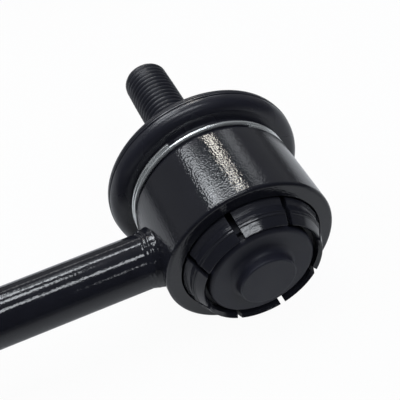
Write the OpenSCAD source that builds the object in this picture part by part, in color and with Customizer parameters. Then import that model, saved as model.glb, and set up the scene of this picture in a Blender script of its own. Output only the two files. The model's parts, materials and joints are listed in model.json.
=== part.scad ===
// Stabilizer link: a painted steel rod with a sealed ball joint welded to each end.
// A joint is drawn upright, with its ball centre at the origin and its stud along +Z.
// Both ends hold the same joint: it is laid on its side, stud along +Y, at its end of the rod.

/* [Link] */
// Distance between the two ball centres
link_length = 180; // [120:1:340]
// Diameter of the rod
rod_d = 10.2; // [8:0.1:13]
// How far the weld bead stands out from the rod
weld_rise = 0.6; // [0.4:0.1:1.5]
// Length of the weld bead along the rod
weld_length = 2.4; // [2:0.1:6]
// Ripples along the weld bead
weld_ripples = 2; // [2:1:4]

/* [Housing] */
// Outside diameter of a housing
housing_d = 32; // [30.5:0.1:40]
// Diameter of the bore that takes the ball seat
bore_d = 25.5; // [25:0.1:27]
// Chamfer at the lower edge of that bore
bore_edge = 0.6; // [0.3:0.05:0.8]
// Height of the full diameter below the ball centre
body_below = 7.55; // [6.8:0.05:9]
// Height of the full diameter above the ball centre
body_above = 8.6; // [7.6:0.05:10]
// Thickness of the inner shoulder that holds the seat from above
shoulder_t = 2.3; // [1.2:0.1:3]
// Radius of the rounded lower edge
lower_edge_r = 0.6; // [0.3:0.05:1.5]
// Radius of the rounded upper edge
upper_edge_r = 0.5; // [0.2:0.05:0.9]
// How far the neck that the boot's foot grips stays inside the housing's side
neck_step = 2; // [1.5:0.05:2.5]
// Height of the neck above the full diameter
neck_h = 3.6; // [3.2:0.1:4.5]
// Thickness of the round bead around the top of the neck
neck_bead = 0.5; // [0.3:0.05:0.8]

/* [Ball stud] */
// Diameter of the ball
ball_d = 18; // [16.5:0.1:19]
// Height cut off the bottom of the ball, which leaves a pocket for grease
ball_flat = 1; // [0.4:0.1:2]
// Diameter of the stud just above the ball
waist_d = 9.6; // [8:0.1:10.4]
// Diameter of the seat for the boot's lip
shank_d = 11.2; // [10.6:0.1:12]
// Height of the underside of the hexagon above the ball centre
collar_z = 19.6; // [19:0.1:23]
// Width across the flats of the hexagon
collar_af = 15; // [14:0.1:18]
// Thickness of the hexagon
collar_h = 4; // [3:0.1:5]
// Height of the round face on top of the hexagon
face_step = 0.3; // [0.1:0.1:0.6]
// How far that round face stays inside the flats
face_inset = 0.3; // [0.1:0.1:0.6]
// Height of the chamfer on the upper corners of the hexagon
collar_chamfer = 0.6; // [0.2:0.1:1]
// Chamfer on the lower corners of the hexagon
collar_break = 0.3; // [0.1:0.1:0.6]
// Diameter over the thread's crests
thread_d = 9.9; // [8:0.1:10.4]
// Length from the hexagon to the tip of the stud
thread_length = 25.4; // [16:0.1:34]
// Chamfer at the tip of the stud
tip_chamfer = 1.2; // [0.4:0.1:2]

/* [Ball seat] */
// Number of snap fingers around the seat's lower end
finger_count = 8; // [6:1:12]
// Width of the slots between the fingers
slot_w = 1; // [0.6:0.1:1.6]
// Length of the fingers below the housing
finger_length = 4.75; // [4.2:0.05:6]
// How far the hooks reach out over the chamfer of the bore
hook_reach = 0.3; // [0.2:0.05:0.5]
// How far the shoulder of a hook leans back
hook_lean = 0.1; // [0.05:0.05:0.15]
// Height below the housing at which a hook has its full width
hook_drop = 0.4; // [0.2:0.05:0.6]
// Height of the straight part of a hook
hook_h = 1.45; // [0.8:0.05:1.6]
// Height of the tapered part of a hook
hook_taper_h = 0.75; // [0.4:0.05:0.9]
// Width of the two ledges between a hook and its fingertip
ledge_w = 0.2; // [0.1:0.05:0.3]
// Height between those ledges
ledge_h = 0.5; // [0.3:0.05:0.6]
// How far the fingertips taper in below the ledges
tip_taper = 0.8; // [0.4:0.05:0.9]
// Wall thickness at the fingertips
tip_wall = 0.6; // [0.5:0.05:0.8]
// Width of the flat end of the fingertips
tip_land = 0.12; // [0.08:0.02:0.3]
// Height of the bevel inside the fingertips
tip_bevel_h = 0.6; // [0.3:0.1:1]
// Depth of the slots inside the housing
slot_depth = 2.2; // [1:0.1:3]
// Angle of the first slot from the line of the rod
slot_phase = -16.5; // [-45:0.5:45]
// Width of the step around the ball that the cap seats against
cap_step_w = 1.55; // [1.3:0.05:1.8]
// Depth of that step below the ball centre
cap_step_depth = 4; // [3.4:0.1:4.6]

/* [End cap] */
// How far the wide part of the cap reaches below the edge of the housing
plug_below = 2.6; // [0.4:0.1:3]
// How far the disc of the cap lies inside the ring of fingertips
cap_sink = 0.35; // [0.1:0.05:0.6]
// Open gap between the disc of the cap and the fingers
cap_gap = 0.75; // [0.4:0.05:1]
// Radius of the rounded edge of the disc
cap_edge_r = 0.8; // [0.3:0.1:1]
// Diameter of the boss
boss_d = 10.5; // [6:0.1:14]
// Height of the boss
boss_h = 2.3; // [1.2:0.1:4]
// Radius of the fillet around the foot of the boss
boss_fillet = 1; // [0.4:0.1:1.1]
// Radius of the rounded upper edge of the boss
boss_edge_r = 0.35; // [0.1:0.05:0.6]

/* [Dust boot] */
// How far the bulge reaches out past the housing's side
rim_overhang = 3.35; // [2.2:0.05:6]
// Radius of the bulge
bulge_r = 2.3; // [2:0.05:2.6]
// Height of the widest place of the bulge above the ball centre
bulge_z = 14; // [13.8:0.05:14.4]
// Height from there to the rounded upper edge
rim_h = 0.8; // [0.4:0.05:1]
// How far that edge stays inside the bulge
rim_step = 0.1; // [0.05:0.05:0.3]
// Radius of that edge
rim_r = 1; // [0.6:0.05:1.4]
// Wall thickness of the boot
boot_wall = 1.2; // [0.8:0.05:1.4]
// Wall thickness of the foot around the neck
foot_wall = 1; // [0.8:0.05:1.3]
// Radius of the curve between the foot and the bulge
flare_r = 0.4; // [0.2:0.05:0.6]
// Wall thickness of the lip around the stud
lip_wall = 1.9; // [1.6:0.1:2.4]
// Height of the lip
lip_h = 3.4; // [3.1:0.1:3.8]
// How far the flange on top of the lip reaches out
lip_flange = 0.8; // [0.5:0.1:1.2]
// Thickness of that flange
lip_flange_h = 0.5; // [0.4:0.1:0.7]
// Depth of the groove for the upper ring
lip_groove = 0.25; // [0.15:0.05:0.35]
// Radius of the curve between the lip and the upper side
crown_r = 0.6; // [0.3:0.1:0.8]

/* [Spring rings] */
// Wire diameter of the ring around the boot's foot
clip_wire_d = 0.86; // [0.6:0.02:0.9]
// Turns of that ring
clip_turns = 1.84; // [1.5:0.02:1.95]
// Angle at which the wire of that ring starts
clip_start_deg = -115; // [-180:1:180]
// Wire diameter of the ring around the boot's upper lip
lip_wire_d = 0.8; // [0.6:0.05:0.9]
// Gap between the ends of the upper ring, in degrees
lip_gap_deg = 12; // [4:1:40]

/* [Fits] */
// Radial clearance between the ball and its seat
ball_clear = 0.05; // [0.02:0.01:0.1]
// Radial clearance of the seat in its bore and of the cap in the seat
press_clear = 0.05; // [0.02:0.01:0.1]
// Radial clearance between the boot and what it turns on
boot_clear = 0.08; // [0.04:0.01:0.12]
// Gap between faces that stay free of each other
face_gap = 0.12; // [0.05:0.01:0.2]
// Gap between the turns of wire, and between the wire and the boot
wire_gap = 0.06; // [0.03:0.01:0.1]
// Thickness of the fused layer between welded pieces
weld_gap = 0.02; // [0.01:0.01:0.05]
// Angle that the stud can swing to each side
swing_deg = 22; // [15:1:22]
// Spare angle between the waist and the mouth of the socket at full swing
swing_spare_deg = 3; // [1:0.5:5]

/* [Hidden] */
$fn = 96;

paint_black = "#202226";
steel_black = "#2a2c30";
plastic_black = "#1b1c20";
plastic_grey = "#34363b";
rubber_black = "#17181c";
spring_steel = "#c9ccd0";

rod_r = rod_d / 2;
housing_r = housing_d / 2;
bore_r = bore_d / 2;
neck_r = housing_r - neck_step;
ball_r = ball_d / 2;
socket_r = ball_r + ball_clear;
waist_r = waist_d / 2;
shank_r = shank_d / 2;
thread_r = thread_d / 2;
rim_radius = housing_r + rim_overhang;

// Heights on the joint's axis, from the ball centre
shoulder_z = body_above - shoulder_t;
neck_top = body_above + neck_h;
tip_z = collar_z + collar_h + thread_length;
fingertip_z = -body_below - finger_length;
cap_face_z = fingertip_z + cap_sink;
boss_top_z = cap_face_z - boss_h;

// The stud's swing sets the width of the openings around it
function swing_clear_r(z) = z * tan(swing_deg) + waist_r / cos(swing_deg) + face_gap;
mouth_r = swing_clear_r(neck_top);
throat_r = swing_clear_r(shoulder_z);
socket_lip_z = socket_r * cos(asin(waist_r / socket_r) + swing_deg + swing_spare_deg);
socket_lip_r = sqrt(pow(socket_r, 2) - pow(socket_lip_z, 2));

// The waist widens to the shank above the place where it clears the neck at full swing
waist_top = (neck_top + face_gap + waist_r * sin(swing_deg)) / cos(swing_deg);
shank_z = waist_top + shank_r - waist_r;

// Seat and cap meet on a step below the middle of the ball
step_z = -cap_step_depth;
plug_r = socket_r + cap_step_w;
plug_seat_r = plug_r + press_clear;
plug_bottom_z = -body_below - plug_below;
seat_r = bore_r - press_clear;
hook_r = bore_r + hook_reach;
fingertip_r = plug_seat_r + tip_wall;
hook_top = -body_below + bore_edge - press_clear;
hook_shoulder_r = hook_r - hook_lean;
taper_z = -body_below - hook_drop - hook_h;
upper_ledge_z = taper_z - hook_taper_h;
lower_ledge_z = upper_ledge_z - ledge_h;
tip_root_r = fingertip_r + tip_taper;
ledge_r = tip_root_r + ledge_w;
cap_r = plug_seat_r - cap_gap;

// The boot's foot stands on the housing and its lip sits below the hexagon
foot_r = neck_r + boot_clear + foot_wall;
foot_bottom = body_above + face_gap;
foot_top = neck_top - neck_bead - boot_clear;
lip_r = shank_r + boot_clear + lip_wall;
lip_flange_r = lip_r + lip_flange;
lip_top = collar_z - face_gap;
lip_bottom = lip_top - lip_h;
crown_z = lip_bottom + boot_wall;

// Each ring of wire lies on the rubber that it holds
clip_wire_r = clip_wire_d / 2;
clip_r = foot_r + clip_wire_r + wire_gap;
clip_pitch = clip_wire_d + wire_gap;
clip_bottom = foot_bottom + clip_wire_r + wire_gap;
clip_steps = 96;
clip_sides = 10;
lip_wire_r = lip_wire_d / 2;
lip_ring_r = lip_r - lip_groove + lip_wire_r;
lip_ring_z = (crown_z + crown_r + lip_top - lip_flange_h) / 2;

// Spare length of a cut that runs past a face
cut = 1;

// The origin is the middle of the whole link
joint_y = -(tip_z + boss_top_z) / 2;

// Placing

// Puts an upright joint at one end of the rod: end 0 at +X, end 1 at -X
module at_end(end) {
    rotate([0, end * 180, 0])
        translate([link_length / 2, joint_y, 0])
            rotate([-90, 0, 0])
                children();
}

// Outline helpers

// What is cut from a square outer corner to round it: the corner is at the origin, outwards to +X +Y
module corner_waste(radius) {
    translate([-radius, -radius])
        difference() {
            square(radius + cut);
            circle(radius);
        }
}

// Fillet that fills a square inner corner at the origin, towards +X +Y
module corner_fillet(radius) {
    difference() {
        square(radius);
        translate([radius, radius]) circle(radius);
    }
}

// Rectangle from radius r0 to r1 and from height z0 to z1
module band(r0, r1, z0, z1) {
    translate([r0, z0]) square([r1 - r0, z1 - z0]);
}

// Points of an arc about a centre, from one angle to another
function arc(centre, radius, from, to, steps) =
    [for (i = [0:steps]) centre + radius * [cos(from + (to - from) * i / steps), sin(from + (to - from) * i / steps)]];

// Rod and welds

module rod() {
    color(paint_black)
        translate([0, joint_y, 0])
            difference() {
                rotate([0, 90, 0]) cylinder(h = link_length - housing_d + rod_d, r = rod_r, center = true);
                for (side = [-1, 1])
                    translate([side * link_length / 2, 0, 0])
                        rotate([90, 0, 0])
                            cylinder(h = 4 * rod_d, r = housing_r + weld_gap, center = true);
            }
}

// Ripples that rise towards the housing, on a cone that saddles it
module weld_bead() {
    pitch = weld_length / weld_ripples;
    ripple_r = 0.6 * pitch;
    inner_r = rod_r + weld_gap;
    saddle = housing_r - sqrt(pow(housing_r, 2) - pow(inner_r + weld_rise, 2));
    color(paint_black)
        difference() {
            translate([-housing_r - weld_length, 0, 0])
                rotate([0, 90, 0])
                    rotate_extrude()
                        intersection() {
                            union() {
                                for (i = [1:weld_ripples])
                                    translate([inner_r + weld_rise * i / weld_ripples - ripple_r, pitch * (i - 0.5)])
                                        circle(ripple_r);
                                polygon([
                                    [inner_r, 0],
                                    [inner_r + weld_rise / 2, weld_length - pitch / 2],
                                    [inner_r + weld_rise / 2, weld_length + saddle],
                                    [inner_r, weld_length + saddle],
                                ]);
                            }
                            band(inner_r, inner_r + 2 * weld_rise, 0, weld_length + saddle);
                        }
            cylinder(h = 4 * rod_d, r = housing_r + weld_gap, center = true);
        }
}

// Housing

module housing() {
    color(paint_black)
        rotate_extrude()
            difference() {
                union() {
                    band(0, housing_r, -body_below, body_above);
                    band(0, neck_r, body_above, neck_top);
                    translate([neck_r, neck_top - neck_bead / 2]) circle(neck_bead / 2);
                }
                band(0, bore_r, -body_below - cut, shoulder_z);
                polygon([
                    [0, -body_below + bore_edge],
                    [bore_r, -body_below + bore_edge],
                    [bore_r + bore_edge, -body_below],
                    [bore_r + bore_edge, -body_below - cut],
                    [0, -body_below - cut],
                ]);
                polygon([
                    [0, shoulder_z - cut],
                    [throat_r, shoulder_z - cut],
                    [throat_r, shoulder_z],
                    [mouth_r, neck_top],
                    [mouth_r, neck_top + cut],
                    [0, neck_top + cut],
                ]);
                translate([housing_r, body_above]) corner_waste(upper_edge_r);
                translate([housing_r, -body_below]) mirror([0, 1]) corner_waste(lower_edge_r);
            }
}

// Ball seat

// Outside of the seat: the sleeve in the bore, the hooks over its chamfer, two ledges and the fingertips
module seat_outline() {
    polygon([
        [0, shoulder_z],
        [seat_r, shoulder_z],
        [seat_r, hook_top],
        [hook_shoulder_r, hook_top - (hook_shoulder_r - seat_r)],
        [hook_r, -body_below - hook_drop],
        [hook_r, taper_z],
        [ledge_r + ledge_w, upper_ledge_z],
        [ledge_r, upper_ledge_z],
        [ledge_r, lower_ledge_z],
        [tip_root_r, lower_ledge_z],
        [fingertip_r, fingertip_z],
        [0, fingertip_z],
    ]);
}

// Inside of the seat: the mouth above the ball, the socket and the room for the cap below it
module seat_hollow() {
    circle(socket_r);
    band(0, socket_r, step_z, 0);
    band(0, plug_seat_r, fingertip_z - cut, step_z);
    polygon([
        [0, fingertip_z + tip_bevel_h],
        [plug_seat_r, fingertip_z + tip_bevel_h],
        [fingertip_r - tip_land, fingertip_z],
        [fingertip_r - tip_land, fingertip_z - cut],
        [0, fingertip_z - cut],
    ]);
    polygon([
        [0, 0],
        [socket_lip_r, 0],
        [socket_lip_r, socket_lip_z],
        [throat_r, shoulder_z],
        [throat_r, shoulder_z + cut],
        [0, shoulder_z + cut],
    ]);
}

module ball_seat() {
    color(plastic_black)
        difference() {
            rotate_extrude()
                difference() {
                    seat_outline();
                    seat_hollow();
                }
            for (i = [0:finger_count - 1])
                rotate([0, 0, slot_phase + i * 360 / finger_count])
                    translate([plug_r - cut, -slot_w / 2, fingertip_z - cut])
                        cube([hook_r - plug_r + 2 * cut, slot_w, finger_length + slot_depth + cut]);
        }
}

// End cap

module end_cap() {
    boss_r = boss_d / 2;
    color(plastic_grey)
        rotate_extrude()
            difference() {
                union() {
                    band(0, plug_r, plug_bottom_z, step_z);
                    difference() {
                        band(0, cap_r, cap_face_z, plug_bottom_z);
                        translate([cap_r, cap_face_z]) mirror([0, 1]) corner_waste(cap_edge_r);
                    }
                    difference() {
                        band(0, boss_r, boss_top_z, cap_face_z);
                        translate([boss_r, boss_top_z]) mirror([0, 1]) corner_waste(boss_edge_r);
                    }
                    translate([boss_r, cap_face_z]) mirror([0, 1]) corner_fillet(boss_fillet);
                }
                circle(socket_r);
            }
}

// Ball stud

module ball_stud() {
    color(steel_black) {
        rotate_extrude()
            union() {
                intersection() {
                    circle(ball_r);
                    band(0, ball_r, ball_flat - ball_r, ball_r);
                }
                polygon([
                    [0, 0],
                    [waist_r, 0],
                    [waist_r, waist_top],
                    [shank_r, shank_z],
                    [shank_r, collar_z],
                    [thread_r, collar_z + collar_h],
                    [thread_r, tip_z - tip_chamfer],
                    [thread_r - tip_chamfer, tip_z],
                    [0, tip_z],
                ]);
            }
        translate([0, 0, collar_z])
            intersection() {
                cylinder(h = collar_h, d = collar_af / cos(30), $fn = 6);
                rotate_extrude() collar_outline();
            }
    }
}

// Turned outline that breaks the corners of the hexagon and leaves a round face on top of it
module collar_outline() {
    corner_r = collar_af / cos(30) / 2;
    face_r = collar_af / 2 - face_inset;
    polygon([
        [0, 0],
        [corner_r - collar_break, 0],
        [corner_r, collar_break],
        [corner_r, collar_h - face_step - collar_chamfer],
        [face_r, collar_h - face_step],
        [face_r, collar_h],
        [0, collar_h],
    ]);
}

// Dust boot and its rings

module dust_boot() {
    flare_c = [foot_r + flare_r, foot_top - flare_r];
    bulge_c = [rim_radius - bulge_r, bulge_z];
    rim_c = [rim_radius - rim_step - rim_r, bulge_z + rim_h];
    crown_c = [lip_r + crown_r, crown_z + crown_r];
    slope = atan2(crown_z - rim_c.y - rim_r, rim_c.x - crown_c.x);
    bead_clear_r = neck_r + neck_bead / 2 + 2 * boot_clear;
    color(rubber_black)
        rotate_extrude()
            difference() {
                polygon(concat(
                    [[neck_r + boot_clear, foot_bottom], [foot_r, foot_bottom]],
                    arc(flare_c, flare_r, 180, 90, 5),
                    arc(bulge_c, bulge_r, -90, 0, 12),
                    arc(rim_c, rim_r, 0, 90 - slope, 8),
                    arc(crown_c, crown_r, -90 - slope, -180, 6),
                    [
                        [lip_r, lip_top - lip_flange_h],
                        [lip_flange_r, lip_top - lip_flange_h],
                        [lip_flange_r, lip_top],
                        [shank_r + boot_clear, lip_top],
                        [shank_r + boot_clear, lip_bottom],
                        [lip_r, lip_bottom],
                    ],
                    arc(bulge_c, bulge_r - boot_wall, 90 - slope, -90, 10),
                    [
                        [bead_clear_r + neck_bead, neck_top + neck_bead],
                        [bead_clear_r, neck_top],
                        [bead_clear_r, foot_top],
                        [neck_r + boot_clear, foot_top],
                    ]
                ));
                translate([lip_ring_r, lip_ring_z]) circle(lip_wire_r + wire_gap);
            }
}

// One ring of points around the wire at an angle along the coil
function wire_ring(t, z0) =
    let (a = clip_start_deg - t * clip_turns * 360, z = z0 + clip_pitch * clip_turns * (1 - t))
    [for (j = [0:clip_sides - 1])
        let (b = j * 360 / clip_sides, r = clip_r + clip_wire_r * cos(b))
        [r * cos(a), r * sin(a), z + clip_wire_r * sin(b)]];

// Spring wire wound almost twice around the boot's foot
module boot_clip_ring() {
    rings = [for (i = [0:clip_steps]) each wire_ring(i / clip_steps, clip_bottom)];
    last = clip_steps * clip_sides;
    sides = [for (i = [0:clip_steps - 1], j = [0:clip_sides - 1])
        let (k = (j + 1) % clip_sides, a = i * clip_sides)
        [a + j, a + k, a + clip_sides + k, a + clip_sides + j]];
    ends = [
        [for (j = [clip_sides - 1:-1:0]) j],
        [for (j = [0:clip_sides - 1]) last + j],
    ];
    color(spring_steel)
        polyhedron(points = rings, faces = concat(sides, ends), convexity = 6);
}

// Split wire ring around the boot's upper lip
module boot_top_ring() {
    color(spring_steel)
        rotate([0, 0, lip_gap_deg / 2])
            rotate_extrude(angle = 360 - lip_gap_deg)
                translate([lip_ring_r, lip_ring_z]) circle(lip_wire_r);
}

rod();
at_end(0) weld_bead();  // weld_bead_a
at_end(1) weld_bead();  // weld_bead_b
at_end(0) housing();  // housing_a
at_end(1) housing();  // housing_b
at_end(0) ball_seat();  // ball_seat_a
at_end(1) ball_seat();  // ball_seat_b
at_end(0) end_cap();  // end_cap_a
at_end(1) end_cap();  // end_cap_b
at_end(0) ball_stud();  // ball_stud_a
at_end(1) ball_stud();  // ball_stud_b
at_end(0) dust_boot();  // dust_boot_a
at_end(1) dust_boot();  // dust_boot_b
at_end(0) boot_clip_ring();  // boot_clip_ring_a
at_end(1) boot_clip_ring();  // boot_clip_ring_b
at_end(0) boot_top_ring();  // boot_top_ring_a
at_end(1) boot_top_ring();  // boot_top_ring_b
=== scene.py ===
"""Looks of a stabilizer link: paint, rubber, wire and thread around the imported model, in studio light."""
import json
from math import atan2, cos, degrees, exp, pi, radians, sin, sqrt

import bmesh
import bpy
from mathutils import Matrix, Vector, noise

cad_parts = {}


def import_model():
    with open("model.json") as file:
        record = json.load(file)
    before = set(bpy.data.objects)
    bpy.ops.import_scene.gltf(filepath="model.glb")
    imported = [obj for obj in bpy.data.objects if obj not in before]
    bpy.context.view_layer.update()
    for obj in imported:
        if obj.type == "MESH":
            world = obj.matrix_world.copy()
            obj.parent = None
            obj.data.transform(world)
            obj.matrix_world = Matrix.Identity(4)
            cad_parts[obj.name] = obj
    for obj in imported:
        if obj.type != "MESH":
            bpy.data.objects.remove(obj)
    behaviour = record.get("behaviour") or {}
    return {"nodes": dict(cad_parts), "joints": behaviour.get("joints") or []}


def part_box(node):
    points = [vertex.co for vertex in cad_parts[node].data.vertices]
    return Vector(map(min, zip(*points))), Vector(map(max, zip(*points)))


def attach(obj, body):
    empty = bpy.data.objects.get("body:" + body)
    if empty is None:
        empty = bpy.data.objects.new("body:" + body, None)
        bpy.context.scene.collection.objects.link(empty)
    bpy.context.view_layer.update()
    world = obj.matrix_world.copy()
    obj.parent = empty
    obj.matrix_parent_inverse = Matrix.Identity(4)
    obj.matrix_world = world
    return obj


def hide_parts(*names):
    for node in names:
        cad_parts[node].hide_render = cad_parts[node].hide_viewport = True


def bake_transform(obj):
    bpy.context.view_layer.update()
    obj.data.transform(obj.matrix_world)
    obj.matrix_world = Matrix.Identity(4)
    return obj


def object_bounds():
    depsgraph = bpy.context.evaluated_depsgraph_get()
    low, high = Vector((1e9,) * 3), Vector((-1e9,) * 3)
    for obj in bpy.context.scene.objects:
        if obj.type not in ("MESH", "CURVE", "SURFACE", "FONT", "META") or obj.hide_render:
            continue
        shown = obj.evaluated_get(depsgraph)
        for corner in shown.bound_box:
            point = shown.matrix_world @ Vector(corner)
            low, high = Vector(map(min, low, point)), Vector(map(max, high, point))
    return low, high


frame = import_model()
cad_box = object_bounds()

MM = 0.001
ENDS = ("a", "b")
X, Y, Z = Vector((1, 0, 0)), Vector((0, 1, 0)), Vector((0, 0, 1))

# Camera of the picture
CAMERA_AT = Vector((60.15, -103.23, 104.37)) * MM
CAMERA_RIGHT = Vector((0.917, -0.3826, -0.1127))
CAMERA_UP = Vector((0.3528, 0.6462, 0.6767))
SENSOR_W = 36.0
FOCAL_PIXELS = 760.8
IMAGE_PIXELS = 400

# Sizes of the joint, drawn upright: ball centre at the origin, stud along +Z, rod towards -X
ROD_R = 5.1 * MM
WELD_START = -0.5 * MM
WELD_STOP = 2.7 * MM
WELD_LENGTH = 2.4 * MM
WELD_RISE = 0.6 * MM
WELD_COLLAR = 0.95
WELD_RUNOUT = 1.3
WELD_SINK = 0.2 * MM
WELD_HEM = 0.04 * MM
WELD_PIT = 0.035 * MM
WELD_PIT_SIZE = 0.35 * MM
WELD_UPPER_SIDE = radians(65)
# Mean and change of the bead's length around the rod, and of its ridges from the lower to the upper side
WELD_REACH = (0.95, 0.16)
WELD_SIDES = (0.62, 0.38)
WELD_SWAY = 0.12
# Height of each ridge, and its place and width as shares of the bead's length
WELD_RIDGES = ((0.13 * MM, 0.80, 0.09), (0.22 * MM, 0.52, 0.12))
HOUSING_R = 16.0 * MM

SEAT_R = 12.7 * MM
SEAT_TOP = 6.3 * MM
SOCKET_R = 9.05 * MM
SOCKET_LIP_DEG = 33
THROAT_R = 7.84 * MM
STEP_Z = -4.0 * MM
PLUG_SEAT_R = 10.65 * MM
FINGER_ROOT = -5.35 * MM
FINGERS = 8
SLOT_W = 1.0 * MM
SLOT_R = 12.0 * MM
SLOT_PHASE = radians(-16.5)
# Snap finger from the sleeve down, as (radius, height) in mm
FINGER_HOOK = ((12.7, -7.0), (12.95, -7.25), (13.05, -7.75), (12.56, -8.85))
FINGER_LEDGES = ((12.4, -9.0), (12.45, -10.15), (12.25, -10.15), (12.25, -10.65), (12.05, -10.65))
FINGER_TIP = ((11.25, -12.3), (11.13, -12.3))
FINGER_BEVEL_Z = -11.7 * MM
FINGER_EDGE = 0.07 * MM
FINGER_EDGE_DEG = 28

THREAD_R = 4.95 * MM
THREAD_PITCH = 1.25 * MM
THREAD_DEPTH = 0.45 * THREAD_PITCH
THREAD_CREST = 1.2
THREAD_RUN_IN = 1.2 * THREAD_PITCH
THREAD_POINTS = 10
COLLAR_Z = 19.6 * MM
COLLAR_H = 4.0 * MM
COLLAR_FLATS = 15.0 * MM
COLLAR_EDGE = 0.3 * MM
COLLAR_CHAMFER = 0.6 * MM
COLLAR_FACE_R = THREAD_R - 0.5 * MM
SHANK_R = 5.6 * MM
SHANK_Z = 16.03 * MM
WAIST_R = 4.8 * MM
WAIST_TOP = 15.23 * MM
BALL_R = 9.0 * MM
BALL_FLAT_DEG = -62
BALL_NECK_DEG = 57.8
TIP_Z = 49.0 * MM
TIP_CHAMFER = 1.2 * MM
TIP_WORN = 7.0 * MM
TIP_FILL = 0.75
TIP_FILL_R = THREAD_R - 0.1 * MM

FOOT_INNER_R = 14.08 * MM
FOOT_R = 15.08 * MM
FOOT_BOTTOM = 8.72 * MM
FOOT_TOP = 11.62 * MM
FLARE_R = 0.4 * MM
BULGE_C = (17.0 * MM, 13.84 * MM)
BULGE_R = 2.22 * MM
RIM_C = (18.25 * MM, 14.8 * MM)
RIM_R = 1.0 * MM
BOOT_WALL = 1.2 * MM
# Parting line between the bulge and the rim, as (radius, height) in mm
PARTING_LINE = ((19.05, 14.02), (19.29, 14.14), (19.31, 14.36), (19.15, 14.46), (19.29, 14.56))
GROOVE_R = 14.41 * MM
GROOVE_TOP = 12.2 * MM
GROOVE_BEVEL = 0.5 * MM
LIP_INNER_R = 5.68 * MM
LIP_R = 7.58 * MM
LIP_FLANGE_R = 8.38 * MM
LIP_FLANGE_H = 0.5 * MM
LIP_TOP = 19.48 * MM
LIP_BOTTOM = 17.4 * MM
LIP_ROOT = 16.6 * MM
LIP_LEDGE = 0.9 * MM
CROWN_Z = 17.28 * MM
CROWN_R = 0.6 * MM

WIRE_R = 0.43 * MM
WIRE_GAP = 0.06 * MM
WIRE_TURNS = 1.84
WIRE_PITCH = 0.92 * MM
WIRE_START = radians(-115)
WIRE_Z = 9.21 * MM


def camera():
    """Pinhole camera that sees the link as the picture does."""
    data = bpy.data.cameras.new("camera")
    data.sensor_width = SENSOR_W
    data.lens = FOCAL_PIXELS / IMAGE_PIXELS * SENSOR_W
    data.clip_start = 1 * MM
    right = CAMERA_RIGHT.normalized()
    back = right.cross(CAMERA_UP).normalized()
    up = back.cross(right)
    obj = bpy.data.objects.new("camera", data)
    obj.matrix_world = Matrix.Translation(CAMERA_AT) @ Matrix((right, up, back)).transposed().to_4x4()
    bpy.context.scene.collection.objects.link(obj)
    bpy.context.scene.camera = obj


# Stage and light
FLOOR_SIZE = 3.0
# Pale sheet fading softly into a dark table, placed behind the link: partly a sheet's edge, partly painted
# shade on the floor in front of the link and far from it.
PAPER_AND_SHADE_AT = (0.06, 0.03, 0.0)
PAPER_AND_SHADE_HALF = (0.36, 0.135, 1.0)
PAPER_AND_SHADE_FADE = (0.35, 1.3)
PAPER_AND_SHADE_TONE = (0.7, 0.08)
SEEN_GLOW = 0.955
MIRRORED_GLOW = 0.05
ROOM_BACK = 0.24
ROOM_FRONT = 0.01
ROOM_FADE = (-0.35, 0.45)
ROOM_TINT = (0.97, 0.985, 1.0, 1)


def add_math(tree, operation, a, b, clamp=False):
    """Math node on two sockets or plain numbers; gives its result."""
    node = tree.nodes.new("ShaderNodeMath")
    node.operation = operation
    node.use_clamp = clamp
    for socket, value in zip(node.inputs, (a, b)):
        if isinstance(value, (int, float)):
            socket.default_value = value
        else:
            tree.links.new(value, socket)
    return node.outputs[0]


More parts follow.
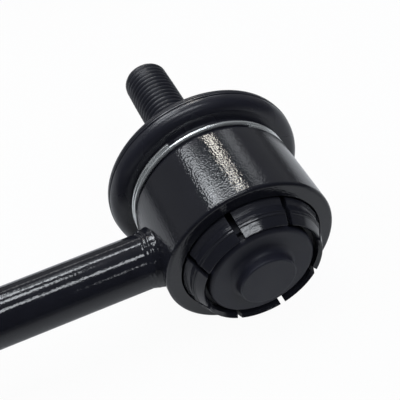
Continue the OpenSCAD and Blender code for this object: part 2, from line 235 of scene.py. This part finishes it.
def floor():
    """A pale sheet on a dark table, both white to the camera; the sheet takes the shadow. Its colour fades
    softly into the table's and it sits behind the link: partly a sheet's edge, partly painted shade that
    darkens the floor in front of the link and far from it.
    """
    bm = bmesh.new()
    place = Matrix.Translation((0, 0, cad_box[0].z))
    bmesh.ops.create_circle(bm, cap_ends=True, segments=96, radius=FLOOR_SIZE, matrix=place)
    mesh = bpy.data.meshes.new("floor")
    bm.to_mesh(mesh)
    bm.free()
    obj = bpy.data.objects.new("floor", mesh)
    bpy.context.scene.collection.objects.link(obj)
    mat = bpy.data.materials.new("white_floor")
    mat.use_nodes = True
    tree = mat.node_tree
    tree.nodes.clear()
    out = tree.nodes.new("ShaderNodeOutputMaterial")
    mix = tree.nodes.new("ShaderNodeMixShader")
    paper_and_shade_bsdf = tree.nodes.new("ShaderNodeBsdfDiffuse")
    place = tree.nodes.new("ShaderNodeTexCoord")
    sheet = tree.nodes.new("ShaderNodeMapping")
    sheet.vector_type = "TEXTURE"
    sheet.inputs["Location"].default_value = PAPER_AND_SHADE_AT
    sheet.inputs["Scale"].default_value = PAPER_AND_SHADE_HALF
    tree.links.new(place.outputs["Object"], sheet.inputs["Vector"])
    reach = tree.nodes.new("ShaderNodeVectorMath")
    reach.operation = "LENGTH"
    tree.links.new(sheet.outputs[0], reach.inputs[0])
    # Floor colour fades from the sheet's tone to the table's: partly painted shade in front of the link and
    # far from it.
    tone = tree.nodes.new("ShaderNodeMapRange")
    tone.interpolation_type = "SMOOTHSTEP"
    tone.inputs["From Min"].default_value, tone.inputs["From Max"].default_value = PAPER_AND_SHADE_FADE
    tone.inputs["To Min"].default_value, tone.inputs["To Max"].default_value = PAPER_AND_SHADE_TONE
    tree.links.new(reach.outputs["Value"], tone.inputs["Value"])
    tree.links.new(tone.outputs[0], paper_and_shade_bsdf.inputs["Color"])
    glow = tree.nodes.new("ShaderNodeEmission")
    glow.inputs["Strength"].default_value = 1.0
    path = tree.nodes.new("ShaderNodeLightPath")
    seen = add_math(
        tree, "ADD", path.outputs["Is Camera Ray"], path.outputs["Is Transmission Ray"], clamp=True)
    seen = add_math(tree, "MULTIPLY", seen, SEEN_GLOW)
    mirrored = add_math(tree, "MULTIPLY", path.outputs["Is Glossy Ray"], MIRRORED_GLOW)
    tree.links.new(add_math(tree, "MAXIMUM", seen, mirrored), mix.inputs["Fac"])
    tree.links.new(paper_and_shade_bsdf.outputs[0], mix.inputs[1])
    tree.links.new(glow.outputs[0], mix.inputs[2])
    tree.links.new(mix.outputs[0], out.inputs["Surface"])
    mesh.materials.append(mat)


def world():
    """A room that is pale behind the link and dark in front of it, and white to the camera."""
    w = bpy.data.worlds.new("room")
    w.use_nodes = True
    tree = w.node_tree
    place = tree.nodes.new("ShaderNodeTexCoord")
    parts = tree.nodes.new("ShaderNodeSeparateXYZ")
    fade = tree.nodes.new("ShaderNodeMapRange")
    fade.interpolation_type = "SMOOTHSTEP"
    fade.inputs["From Min"].default_value, fade.inputs["From Max"].default_value = ROOM_FADE
    fade.inputs["To Min"].default_value = ROOM_FRONT
    fade.inputs["To Max"].default_value = ROOM_BACK
    tree.links.new(place.outputs["Generated"], parts.inputs[0])
    tree.links.new(parts.outputs["Y"], fade.inputs["Value"])
    background = tree.nodes["Background"]
    background.inputs["Color"].default_value = ROOM_TINT
    path = tree.nodes.new("ShaderNodeLightPath")
    seen = add_math(tree, "MAXIMUM", path.outputs["Is Camera Ray"], path.outputs["Is Transmission Ray"])
    strength = add_math(tree, "MAXIMUM", fade.outputs[0], seen)
    tree.links.new(strength, background.inputs["Strength"])
    bpy.context.scene.world = w


def lamp(name, aim, around, place, size, radiance, colour, fill=False):
    """Area lamp that draws a streak along one axis of the link, or a fill that only lights.

    place is its azimuth from +Y towards +X, its elevation and its distance.
    size is its width around that axis and its length along it.
    """
    az, el = radians(place[0]), radians(place[1])
    towards = Vector((sin(az) * cos(el), cos(az) * cos(el), sin(el)))
    wide = around.cross(towards).normalized()
    data = bpy.data.lights.new(name, "AREA")
    data.shape = "RECTANGLE"
    data.size, data.size_y = size
    data.energy = radiance * pi * size[0] * size[1]
    data.color = colour
    obj = bpy.data.objects.new(name, data)
    turn = Matrix((wide, towards.cross(wide), towards)).transposed().to_4x4()
    obj.matrix_world = Matrix.Translation(aim + towards * place[2]) @ turn
    obj.visible_glossy = not fill
    obj.visible_diffuse = fill
    bpy.context.scene.collection.objects.link(obj)


def lights():
    """Streak lamps aimed at the joint in the picture and at the rod, and three fills."""
    cool, warm, white, sky = (0.92, 0.96, 1.0), (1.0, 0.95, 0.86), (1.0, 1.0, 1.0), (0.90, 0.94, 1.0)
    low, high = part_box("housing_a")
    drum = Vector(((low.x + high.x) / 2, (low.y + high.y) / 2, high.z))
    low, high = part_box("rod")
    bar = Vector((0, (low.y + high.y) / 2, high.z))
    lamp("window", drum, Y, (-22.5, 46, 0.5), (0.085, 0.12), 7.0, cool)
    lamp("window_side", drum, Y, (-7, 49, 0.5), (0.06, 0.10), 1.4, cool)
    lamp("tube", drum, Y, (15.8, 41.5, 0.5), (0.045, 0.12), 18.0, warm)
    lamp("far_tube", drum, Y, (35, 33, 0.5), (0.09, 0.12), 1.5, cool)
    lamp("rail_back", bar + 40 * MM * X, X, (0, 56.2, 0.5), (0.05, 0.38), 10.5, cool)
    lamp("rail_top", bar - 68 * MM * X, X, (0, 76.2, 0.5), (0.062, 0.24), 11.0, cool)
    lamp("rail_front", bar + 80 * MM * X, X, (180, 74, 0.5), (0.06, 0.30), 9.5, cool)
    lamp("rail_low", bar + 80 * MM * X, X, (0, 26.5, 0.5), (0.03, 0.40), 2.0, white)
    lamp("front_strip", bar + 135 * MM * X, X, (180, 38.5, 0.5), (0.02, 0.10), 6.0, cool)
    lamp("key", drum, X, (150, 50, 0.7), (0.4, 0.4), 5.2, sky, fill=True)
    lamp("side", drum, X, (-80, 36, 0.7), (0.4, 0.4), 4.3, sky, fill=True)
    lamp("top", drum, X, (0, 82, 0.7), (0.4, 0.4), 4.6, sky, fill=True)


# Node groups shared by the finishes
def group(name, inputs, outputs):
    """Empty node group with its sockets, and its input and output nodes."""
    tree = bpy.data.node_groups.new(name, "ShaderNodeTree")
    for label, kind, value in inputs:
        socket = tree.interface.new_socket(label, in_out="INPUT", socket_type=kind)
        if value is not None:
            socket.default_value = value
    for label, kind in outputs:
        tree.interface.new_socket(label, in_out="OUTPUT", socket_type=kind)
    return tree, tree.nodes.new("NodeGroupInput"), tree.nodes.new("NodeGroupOutput")


def grain_group():
    """Pebbles, a fine grain and slow waves as one height, and a slow mask for roughness."""
    tree, given, result = group(
        "surface grain",
        [("Vector", "NodeSocketVector", None), ("Grain Scale", "NodeSocketFloat", 3000.0),
         ("Wave Scale", "NodeSocketFloat", 200.0), ("Waves", "NodeSocketFloat", 0.5),
         ("Pebbles", "NodeSocketFloat", 0.0)],
        [("Height", "NodeSocketFloat"), ("Mask", "NodeSocketFloat")])
    fine = tree.nodes.new("ShaderNodeTexNoise")
    fine.inputs["Detail"].default_value = 2.0
    slow = tree.nodes.new("ShaderNodeTexNoise")
    slow.inputs["Detail"].default_value = 2.0
    links = tree.links
    links.new(given.outputs["Vector"], fine.inputs["Vector"])
    links.new(given.outputs["Vector"], slow.inputs["Vector"])
    links.new(given.outputs["Grain Scale"], fine.inputs["Scale"])
    links.new(given.outputs["Wave Scale"], slow.inputs["Scale"])
    cells = tree.nodes.new("ShaderNodeTexVoronoi")
    links.new(given.outputs["Vector"], cells.inputs["Vector"])
    links.new(given.outputs["Grain Scale"], cells.inputs["Scale"])
    waves = add_math(tree, "MULTIPLY", slow.outputs["Fac"], given.outputs["Waves"])
    pebbles = add_math(tree, "MULTIPLY", cells.outputs["Distance"], given.outputs["Pebbles"])
    height = add_math(tree, "ADD", add_math(tree, "ADD", waves, fine.outputs["Fac"]), pebbles)
    links.new(height, result.inputs["Height"])
    links.new(slow.outputs["Fac"], result.inputs["Mask"])
    return tree


def dust_group():
    """A few pale specks: small round spots in some of the cells of a loose pattern."""
    tree, given, result = group(
        "dust specks",
        [("Vector", "NodeSocketVector", None), ("Spacing Scale", "NodeSocketFloat", 200.0),
         ("Speck Size", "NodeSocketFloat", 0.03), ("Share", "NodeSocketFloat", 0.4)],
        [("Mask", "NodeSocketFloat")])
    cells = tree.nodes.new("ShaderNodeTexVoronoi")
    tree.links.new(given.outputs["Vector"], cells.inputs["Vector"])
    tree.links.new(given.outputs["Spacing Scale"], cells.inputs["Scale"])
    tone = tree.nodes.new("ShaderNodeSeparateColor")
    tree.links.new(cells.outputs["Color"], tone.inputs[0])
    near = add_math(tree, "LESS_THAN", cells.outputs["Distance"], given.outputs["Speck Size"])
    chosen = add_math(tree, "LESS_THAN", tone.outputs[0], given.outputs["Share"])
    tree.links.new(add_math(tree, "MULTIPLY", near, chosen), result.inputs["Mask"])
    return tree


GRAIN = grain_group()
DUST = dust_group()
# Part of the slow mask that counts, and the shares of a colour between which it moves
MASK_RANGE = (0.3, 0.7)
TINT_RANGE = (0.8, 1.2)
DUST_SPACING = 5 * MM
DUST_SIZE = 0.025
DUST_TONE = (0.16, 0.16, 0.17, 1)


def finish(name, colour, roughness, grain, waves, depth, spread=0.04, wave_share=0.5,
           pebbles=0.0, metallic=0.0, dust=0.0, specular=0.5, stretch=(1, 1, 1)):
    """Principled finish with a bump of grain and waves, given by their sizes on the surface, and some dust.

    stretch below 1 draws the grain out along that axis.
    """
    mat = bpy.data.materials.new(name)
    mat.use_nodes = True
    nodes, links = mat.node_tree.nodes, mat.node_tree.links
    shader = nodes["Principled BSDF"]
    place = nodes.new("ShaderNodeTexCoord")
    grains = nodes.new("ShaderNodeGroup")
    grains.node_tree = GRAIN
    grains.inputs["Grain Scale"].default_value = 1.0 / grain
    grains.inputs["Wave Scale"].default_value = 1.0 / waves
    grains.inputs["Waves"].default_value = wave_share
    grains.inputs["Pebbles"].default_value = pebbles
    drawn = nodes.new("ShaderNodeMapping")
    drawn.inputs["Scale"].default_value = stretch
    links.new(place.outputs["Object"], drawn.inputs["Vector"])
    links.new(drawn.outputs[0], grains.inputs["Vector"])
    bump = nodes.new("ShaderNodeBump")
    bump.inputs["Strength"].default_value = 1.0
    bump.inputs["Distance"].default_value = depth
    links.new(grains.outputs["Height"], bump.inputs["Height"])
    links.new(bump.outputs["Normal"], shader.inputs["Normal"])
    rough = nodes.new("ShaderNodeMapRange")
    rough.inputs["From Min"].default_value, rough.inputs["From Max"].default_value = MASK_RANGE
    rough.inputs["To Min"].default_value = roughness - spread
    rough.inputs["To Max"].default_value = roughness + spread
    links.new(grains.outputs["Mask"], rough.inputs["Value"])
    links.new(rough.outputs["Result"], shader.inputs["Roughness"])
    tint = nodes.new("ShaderNodeMix")
    tint.data_type = "RGBA"
    for socket, share in zip("AB", TINT_RANGE):
        tint.inputs[socket].default_value = (*(share * c for c in colour), 1)
    links.new(grains.outputs["Mask"], tint.inputs["Factor"])
    if dust:
        specks = nodes.new("ShaderNodeGroup")
        specks.node_tree = DUST
        specks.inputs["Spacing Scale"].default_value = 1.0 / DUST_SPACING
        specks.inputs["Speck Size"].default_value = DUST_SIZE
        specks.inputs["Share"].default_value = dust
        links.new(place.outputs["Object"], specks.inputs["Vector"])
        dusty = nodes.new("ShaderNodeMix")
        dusty.data_type = "RGBA"
        dusty.inputs["B"].default_value = DUST_TONE
        links.new(specks.outputs["Mask"], dusty.inputs["Factor"])
        links.new(tint.outputs["Result"], dusty.inputs["A"])
        links.new(dusty.outputs["Result"], shader.inputs["Base Color"])
    else:
        links.new(tint.outputs["Result"], shader.inputs["Base Color"])
    shader.inputs["Metallic"].default_value = metallic
    shader.inputs["Specular IOR Level"].default_value = specular
    return mat


PAINT = (0.0098, 0.0102, 0.0140)
HOUSING_PAINT = finish("housing_paint", PAINT, 0.08, 0.34 * MM, 4 * MM, 0.011 * MM, 0.02,
                       pebbles=1.8, dust=0.3)
ROD_PAINT = finish("rod_paint", PAINT, 0.09, 0.32 * MM, 2.5 * MM, 0.0088 * MM, 0.03, 0.8,
                   pebbles=0.8, dust=0.3)
STUD_BLACK = finish("stud_black", (0.0125, 0.0130, 0.0180), 0.36, 0.2 * MM, 3 * MM, 0.006 * MM)
SEAT_PLASTIC = finish("seat_plastic", (0.0105, 0.0109, 0.0150), 0.17, 0.22 * MM, 3 * MM, 0.02 * MM, 0.05,
                      stretch=(0.12, 1, 0.12))
CAP_PLASTIC = finish("cap_plastic", (0.0140, 0.0145, 0.0220), 0.46, 0.25 * MM, 4 * MM, 0.012 * MM,
                     specular=0.34)
BOOT_RUBBER = finish("boot_rubber", (0.0145, 0.0148, 0.0205), 0.27, 0.3 * MM, 9 * MM, 0.008 * MM, 0.02,
                     dust=0.8)
ZINC_WIRE = finish("zinc_wire", (0.76, 0.78, 0.78), 0.24, 0.2 * MM, 2 * MM, 0.003 * MM, metallic=0.82)


# Mesh helpers
LATHE_MERGE = 0.0005 * MM
THREAD_MERGE = 0.001 * MM


def joint_place(end):
    """From the upright joint to its end of the link."""
    ball = next(j["pos_m"] for j in frame["joints"] if j["name"] == f"swing_{end}")
    turn = Matrix.Rotation(pi * ENDS.index(end), 4, "Y")
    return Matrix.Translation(ball) @ turn @ Matrix.Rotation(-pi / 2, 4, "X")


def arc(centre, radius, start, stop, steps):
    """Points of an arc in the lathe's half plane, from one angle in degrees to another."""
    turns = (radians(start + (stop - start) * i / steps) for i in range(steps + 1))
    return [(centre[0] + radius * cos(t), centre[1] + radius * sin(t)) for t in turns]


def lathe(bm, outline, steps=144):
    """Turns an open outline of (radius, height) points about Z."""
    verts = [bm.verts.new((r, 0, z)) for r, z in outline]
    edges = [bm.edges.new(pair) for pair in zip(verts, verts[1:])]
    bmesh.ops.spin(bm, geom=verts + edges, axis=Z, cent=(0, 0, 0), angle=2 * pi, steps=steps, use_merge=True)
    bmesh.ops.remove_doubles(bm, verts=bm.verts, dist=LATHE_MERGE)


def piece(name, bm, end, material, sharp=35):
    """The finished mesh as an object at the origin, with its place in its mesh."""
    bmesh.ops.recalc_face_normals(bm, faces=bm.faces)
    bmesh.ops.transform(bm, matrix=joint_place(end), verts=bm.verts)
    mesh = bpy.data.meshes.new(name)
    bm.to_mesh(mesh)
    bm.free()
    mesh.shade_smooth()
    mesh.set_sharp_from_angle(angle=radians(sharp))
    mesh.materials.append(material)
    obj = bpy.data.objects.new(name, mesh)
    bpy.context.scene.collection.objects.link(obj)
    return obj


# Weld
def weld_height(run, turn):
    """Height of the bead over the rod at a distance from the housing and an angle around the rod."""
    around = Vector((cos(turn), sin(turn), 0)) * 1.7
    reach = WELD_LENGTH * (WELD_REACH[0] + WELD_REACH[1] * noise.noise(around))
    u = max(run, 0) / reach
    if u >= 1:
        return -WELD_HEM
    upper = WELD_SIDES[0] + WELD_SIDES[1] * cos(turn + WELD_UPPER_SIDE)
    sway = WELD_SWAY * noise.noise(around * 1.6 + 9 * X)
    ridges = sum(height * exp(-((u - at - sway) / width) ** 2) for height, at, width in WELD_RIDGES)
    pit = WELD_PIT * noise.noise(around * 6 + run / WELD_PIT_SIZE * Z) * min(1, 4 * (1 - u))
    return WELD_COLLAR * WELD_RISE * (1 - u) ** WELD_RUNOUT + upper * (ridges + pit)


def weld(end, rows=34):
    """Uneven bead that saddles the housing and runs out on the rod."""
    bm = bmesh.new()
    inner = ROD_R - WELD_SINK
    step = (WELD_STOP - WELD_START) / rows
    outer = [(ROD_R + WELD_RISE, WELD_START + step * i) for i in range(rows + 1)]
    lathe(bm, [(inner, WELD_START), *outer, (inner, WELD_STOP), (inner, WELD_START)])
    for v in bm.verts:
        run, turn, r = v.co.z, atan2(v.co.y, v.co.x), v.co.xy.length
        if r > ROD_R:
            r = ROD_R + weld_height(run, turn)
        side = r * sin(turn)
        v.co = (r * cos(turn), side, sqrt(HOUSING_R ** 2 - side ** 2) + run)
    bmesh.ops.rotate(bm, verts=bm.verts, cent=(0, 0, 0), matrix=Matrix.Rotation(-pi / 2, 3, "Y"))
    obj = piece(f"weld_{end}", bm, end, ROD_PAINT, 60)
    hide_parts(f"weld_bead_{end}")
    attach(obj, "link")


# Ball seat
def seat_fingers(bm):
    """Each snap finger is a short turn of one outline: hook, two ledges and bevelled tip."""
    outline = [
        (PLUG_SEAT_R, FINGER_ROOT),
        (SEAT_R, FINGER_ROOT),
        *((r * MM, z * MM) for r, z in FINGER_HOOK + FINGER_LEDGES + FINGER_TIP),
        (PLUG_SEAT_R, FINGER_BEVEL_Z),
    ]
    share = 2 * pi / FINGERS
    slot = SLOT_W / SLOT_R
    for i in range(FINGERS):
        finger = bmesh.new()
        verts = [finger.verts.new((r, 0, z)) for r, z in outline]
        face = finger.faces.new(verts)
        start = Matrix.Rotation(SLOT_PHASE + i * share + slot / 2, 3, "Z")
        bmesh.ops.rotate(finger, verts=finger.verts, cent=(0, 0, 0), matrix=start)
        bmesh.ops.spin(finger, geom=[face], axis=Z, cent=(0, 0, 0), angle=share - slot, steps=14)
        bmesh.ops.recalc_face_normals(finger, faces=finger.faces)
        edges = [e for e in finger.edges if e.calc_face_angle(0) > radians(FINGER_EDGE_DEG)]
        bmesh.ops.bevel(finger, geom=edges, offset=FINGER_EDGE, affect="EDGES", segments=2, profile=0.5,
                        material=-1)
        mesh = bpy.data.meshes.new("finger")
        finger.to_mesh(mesh)
        finger.free()
        bm.from_mesh(mesh)
        bpy.data.meshes.remove(mesh)


def seat(end):
    """Sleeve with the socket for the ball, and the ring of snap fingers below it."""
    bm = bmesh.new()
    socket = arc((0, 0), SOCKET_R, SOCKET_LIP_DEG, 0, 12)
    lathe(bm, [
        (SEAT_R, FINGER_ROOT),
        (SEAT_R, SEAT_TOP),
        (THROAT_R, SEAT_TOP),
        *socket,
        (SOCKET_R, STEP_Z),
        (PLUG_SEAT_R, STEP_Z),
        (PLUG_SEAT_R, FINGER_ROOT),
        (SEAT_R, FINGER_ROOT),
    ], 96)
    seat_fingers(bm)
    obj = piece(f"seat_{end}", bm, end, SEAT_PLASTIC, 14)
    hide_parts(f"ball_seat_{end}")
    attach(obj, "link")


# Ball stud
def hexagon_r(angle):
    """Distance from the axis to the side of the hexagon."""
    sixth = pi / 3
    return COLLAR_FLATS / 2 / cos((angle + sixth / 2) % sixth - sixth / 2)


def hexagon(bm, segments=72):
    """Hexagon under the nut's seat, drawn out of one ring level by level up to its round face."""
    face_r = COLLAR_FLATS / 2 - COLLAR_EDGE
    face_z = COLLAR_Z + COLLAR_H
    step_z = face_z - COLLAR_EDGE
    corner_r = COLLAR_FLATS / 2 / cos(pi / 6)
    slope = COLLAR_CHAMFER / (corner_r - face_r)
    levels = (
        (lambda a: SHANK_R, lambda a: COLLAR_Z),
        (lambda a: hexagon_r(a) - COLLAR_EDGE, lambda a: COLLAR_Z),
        (hexagon_r, lambda a: COLLAR_Z + COLLAR_EDGE),
        (hexagon_r, lambda a: step_z - slope * (hexagon_r(a) - face_r)),
        (lambda a: face_r, lambda a: step_z),
        (lambda a: face_r, lambda a: face_z),
        (lambda a: COLLAR_FACE_R, lambda a: face_z),
    )
    ring = bmesh.ops.create_circle(bm, segments=segments, radius=SHANK_R)["verts"]
    edges = list(dict.fromkeys(e for v in ring for e in v.link_edges))
    for i, (radius, height) in enumerate(levels):
        if i:
            grown = bmesh.ops.extrude_edge_only(bm, edges=edges)["geom"]
            ring = [g for g in grown if isinstance(g, bmesh.types.BMVert)]
            edges = [g for g in grown if isinstance(g, bmesh.types.BMEdge) and g.is_boundary]
            edges = [e for e in edges if all(v in ring for v in e.verts)]
        for v in ring:
            a = atan2(v.co.y, v.co.x)
            r = radius(a)
            v.co = (r * cos(a), r * sin(a), height(a))


def thread(bm, steps_per_turn=48):
    """One pitch swept up the stud as a helix, filled with paint near the tip and chamfered there."""
    start = COLLAR_Z + COLLAR_H - THREAD_RUN_IN
    turns = int((TIP_Z - start) / THREAD_PITCH) + 2
    shares = [i / THREAD_POINTS for i in range(THREAD_POINTS + 1)]
    roots = [THREAD_DEPTH * (1 - sin(pi * t) ** THREAD_CREST) for t in shares]
    outline = [(THREAD_R - root, THREAD_PITCH * t) for root, t in zip(roots, shares)]
    verts = [bm.verts.new((r, 0, start + z)) for r, z in outline]
    edges = [bm.edges.new(pair) for pair in zip(verts, verts[1:])]
    bmesh.ops.spin(bm, geom=verts + edges, axis=Z, cent=(0, 0, 0), angle=2 * pi * turns,
                   dvec=(0, 0, THREAD_PITCH / steps_per_turn), steps=turns * steps_per_turn)
    bmesh.ops.remove_doubles(bm, verts=bm.verts, dist=THREAD_MERGE)
    everything = list(bm.verts) + list(bm.edges) + list(bm.faces)
    bmesh.ops.bisect_plane(bm, geom=everything, plane_co=(0, 0, TIP_Z), plane_no=Z, clear_outer=True)
    for v in bm.verts:
        below = TIP_Z - v.co.z
        r = v.co.xy.length
        worn = TIP_FILL * max(0, 1 - below / TIP_WORN)
        filled = r + (TIP_FILL_R - r) * worn
        v.co.xy *= min(filled, THREAD_R - TIP_CHAMFER + below) / r
    rim = [e for e in bm.edges if e.is_boundary and all(v.co.z > TIP_Z - THREAD_MERGE for v in e.verts)]
    bmesh.ops.edgeloop_fill(bm, edges=rim)


def stud(end):
    """Threaded end, hexagon, shank, waist and ball in one piece."""
    bm = bmesh.new()
    thread(bm)
    hexagon(bm)
    ball = arc((0, 0), BALL_R, BALL_FLAT_DEG, BALL_NECK_DEG, 24)
    lathe(bm, [(0, ball[0][1]), *ball, (WAIST_R, WAIST_TOP), (SHANK_R, SHANK_Z), (SHANK_R, COLLAR_Z)], 72)
    obj = piece(f"stud_{end}", bm, end, STUD_BLACK, 30)
    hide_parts(f"ball_stud_{end}")
    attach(obj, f"stud_{end}")


# Dust boot and its wire
def boot(end):
    """Rubber boot that bulges out between its foot on the housing and its lip on the stud."""
    slope = degrees(atan2(CROWN_Z - RIM_C[1] - RIM_R, RIM_C[0] - LIP_R - CROWN_R))
    bm = bmesh.new()
    lathe(bm, [
        (FOOT_INNER_R, FOOT_TOP),
        (FOOT_INNER_R, FOOT_BOTTOM),
        (FOOT_R, FOOT_BOTTOM),
        *arc((FOOT_R + FLARE_R, FOOT_TOP - FLARE_R), FLARE_R, 180, 90, 6),
        *arc(BULGE_C, BULGE_R, -90, 0, 24),
        *((r * MM, z * MM) for r, z in PARTING_LINE),
        *arc(RIM_C, RIM_R, 0, 90 - slope, 14),
        *arc((LIP_R + CROWN_R, CROWN_Z + CROWN_R), CROWN_R, -90 - slope, -180, 6),
        (LIP_R, LIP_TOP - LIP_FLANGE_H),
        (LIP_FLANGE_R, LIP_TOP - LIP_FLANGE_H),
        (LIP_FLANGE_R, LIP_TOP),
        (LIP_INNER_R, LIP_TOP),
        (LIP_INNER_R, LIP_BOTTOM),
        (LIP_INNER_R + LIP_LEDGE, LIP_BOTTOM),
        (LIP_R, LIP_ROOT),
        *arc(BULGE_C, BULGE_R - BOOT_WALL, 90 - slope, -90, 10),
        (GROOVE_R + GROOVE_BEVEL, GROOVE_TOP + GROOVE_BEVEL),
        (GROOVE_R, GROOVE_TOP),
        (GROOVE_R, FOOT_TOP),
        (FOOT_INNER_R, FOOT_TOP),
    ])
    obj = piece(f"boot_rubber_{end}", bm, end, BOOT_RUBBER, 40)
    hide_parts(f"dust_boot_{end}")
    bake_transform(obj)


def clip_wire(end, steps=200):
    """Spring wire wound down around the boot's foot, with square-cut ends."""
    bm = bmesh.new()
    rise = WIRE_PITCH * WIRE_TURNS
    stand = Matrix.Rotation(pi / 2, 4, "X")
    outward = Matrix.Translation((FOOT_R + WIRE_GAP + WIRE_R, 0, WIRE_Z + rise))
    place = Matrix.Rotation(WIRE_START, 4, "Z") @ outward @ stand
    bmesh.ops.create_circle(bm, segments=14, radius=WIRE_R, matrix=place)
    bmesh.ops.spin(bm, geom=bm.verts[:] + bm.edges[:], axis=Z, cent=(0, 0, 0), angle=-2 * pi * WIRE_TURNS,
                   dvec=(0, 0, -rise / steps), steps=steps)
    bmesh.ops.holes_fill(bm, edges=bm.edges, sides=0)
    obj = piece(f"clip_wire_{end}", bm, end, ZINC_WIRE, 40)
    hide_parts(f"boot_clip_ring_{end}")
    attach(obj, f"boot_{end}")


def dress(node, material):
    """A CAD node that keeps its shape takes a better finish."""
    mesh = frame["nodes"][node].data
    mesh.materials.clear()
    mesh.materials.append(material)


bpy.context.scene.view_settings.view_transform = "Standard"
camera()
floor()
world()
lights()

dress("rod", ROD_PAINT)
for end in ENDS:
    dress(f"housing_{end}", HOUSING_PAINT)
    dress(f"end_cap_{end}", CAP_PLASTIC)
    dress(f"boot_top_ring_{end}", ZINC_WIRE)
    weld(end)
    seat(end)
    stud(end)
    boot(end)
    clip_wire(end)
